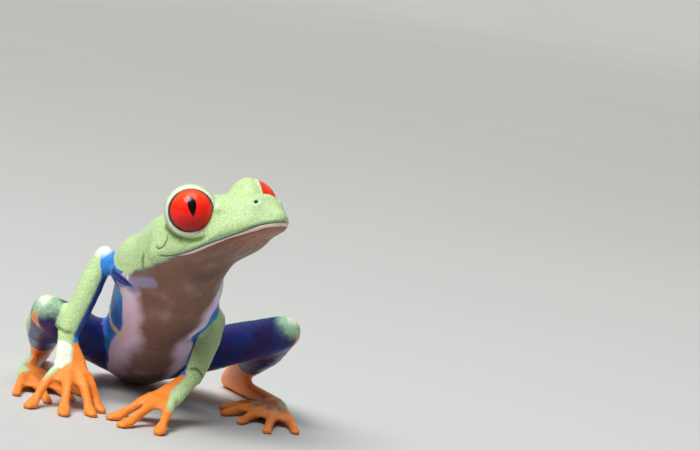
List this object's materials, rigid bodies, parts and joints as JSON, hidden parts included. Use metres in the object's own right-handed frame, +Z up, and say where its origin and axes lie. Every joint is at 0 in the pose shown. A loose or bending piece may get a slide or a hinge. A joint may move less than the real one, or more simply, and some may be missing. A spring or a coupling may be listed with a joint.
{
  "type": "red-eyed tree frog model",
  "caption": "Life-size still model of a red-eyed tree frog sitting up on its hands, head turned and raised, for a table or display case.",
  "frame": {"origin": "centre of the footprint's bounding box, on the surface the frog sits on", "axes": "+Z up, -Y the way the pelvis points, +X the frog's left side"},
  "size_m": [0.0438, 0.053, 0.0379],
  "materials": {
    "skin_green": "moist, finely granular light green skin, paler on the lids, elbows and outer edges of the limbs",
    "skin_pale": "moist, finely wrinkled pinkish white skin of the throat, chest and belly",
    "skin_blue": "smooth moist blue to violet skin of the flanks, upper arms and thighs, with cream bars on the flanks",
    "skin_orange": "smooth moist orange skin of the hands and feet",
    "eye": "wet and glossy, red iris with a black upright slit pupil"
  },
  "bodies": {
    "root": {"head": "skin_green", "jaw": "skin_pale", "trunk": "skin_pale", "pelvis": "skin_pale", "eye_right": "eye", "eye_left": "eye", "upper_arm_right": "skin_blue", "forearm_right": "skin_green", "hand_right": "skin_orange", "thigh_right": "skin_blue", "shank_right": "skin_green", "tarsus_right": "skin_green", "foot_right": "skin_orange", "finger_1_right": "skin_orange", "finger_2_right": "skin_orange", "finger_3_right": "skin_orange", "finger_4_right": "skin_orange", "toe_1_right": "skin_orange", "toe_2_right": "skin_orange", "toe_3_right": "skin_orange", "toe_4_right": "skin_orange", "toe_5_right": "skin_orange", "upper_arm_left": "skin_blue", "forearm_left": "skin_green", "hand_left": "skin_orange", "thigh_left": "skin_blue", "shank_left": "skin_green", "tarsus_left": "skin_green", "foot_left": "skin_orange", "finger_1_left": "skin_orange", "finger_2_left": "skin_orange", "finger_3_left": "skin_orange", "finger_4_left": "skin_orange", "toe_1_left": "skin_orange", "toe_2_left": "skin_orange", "toe_3_left": "skin_orange", "toe_4_left": "skin_orange", "toe_5_left": "skin_orange"}
  },
  "joints": []
}
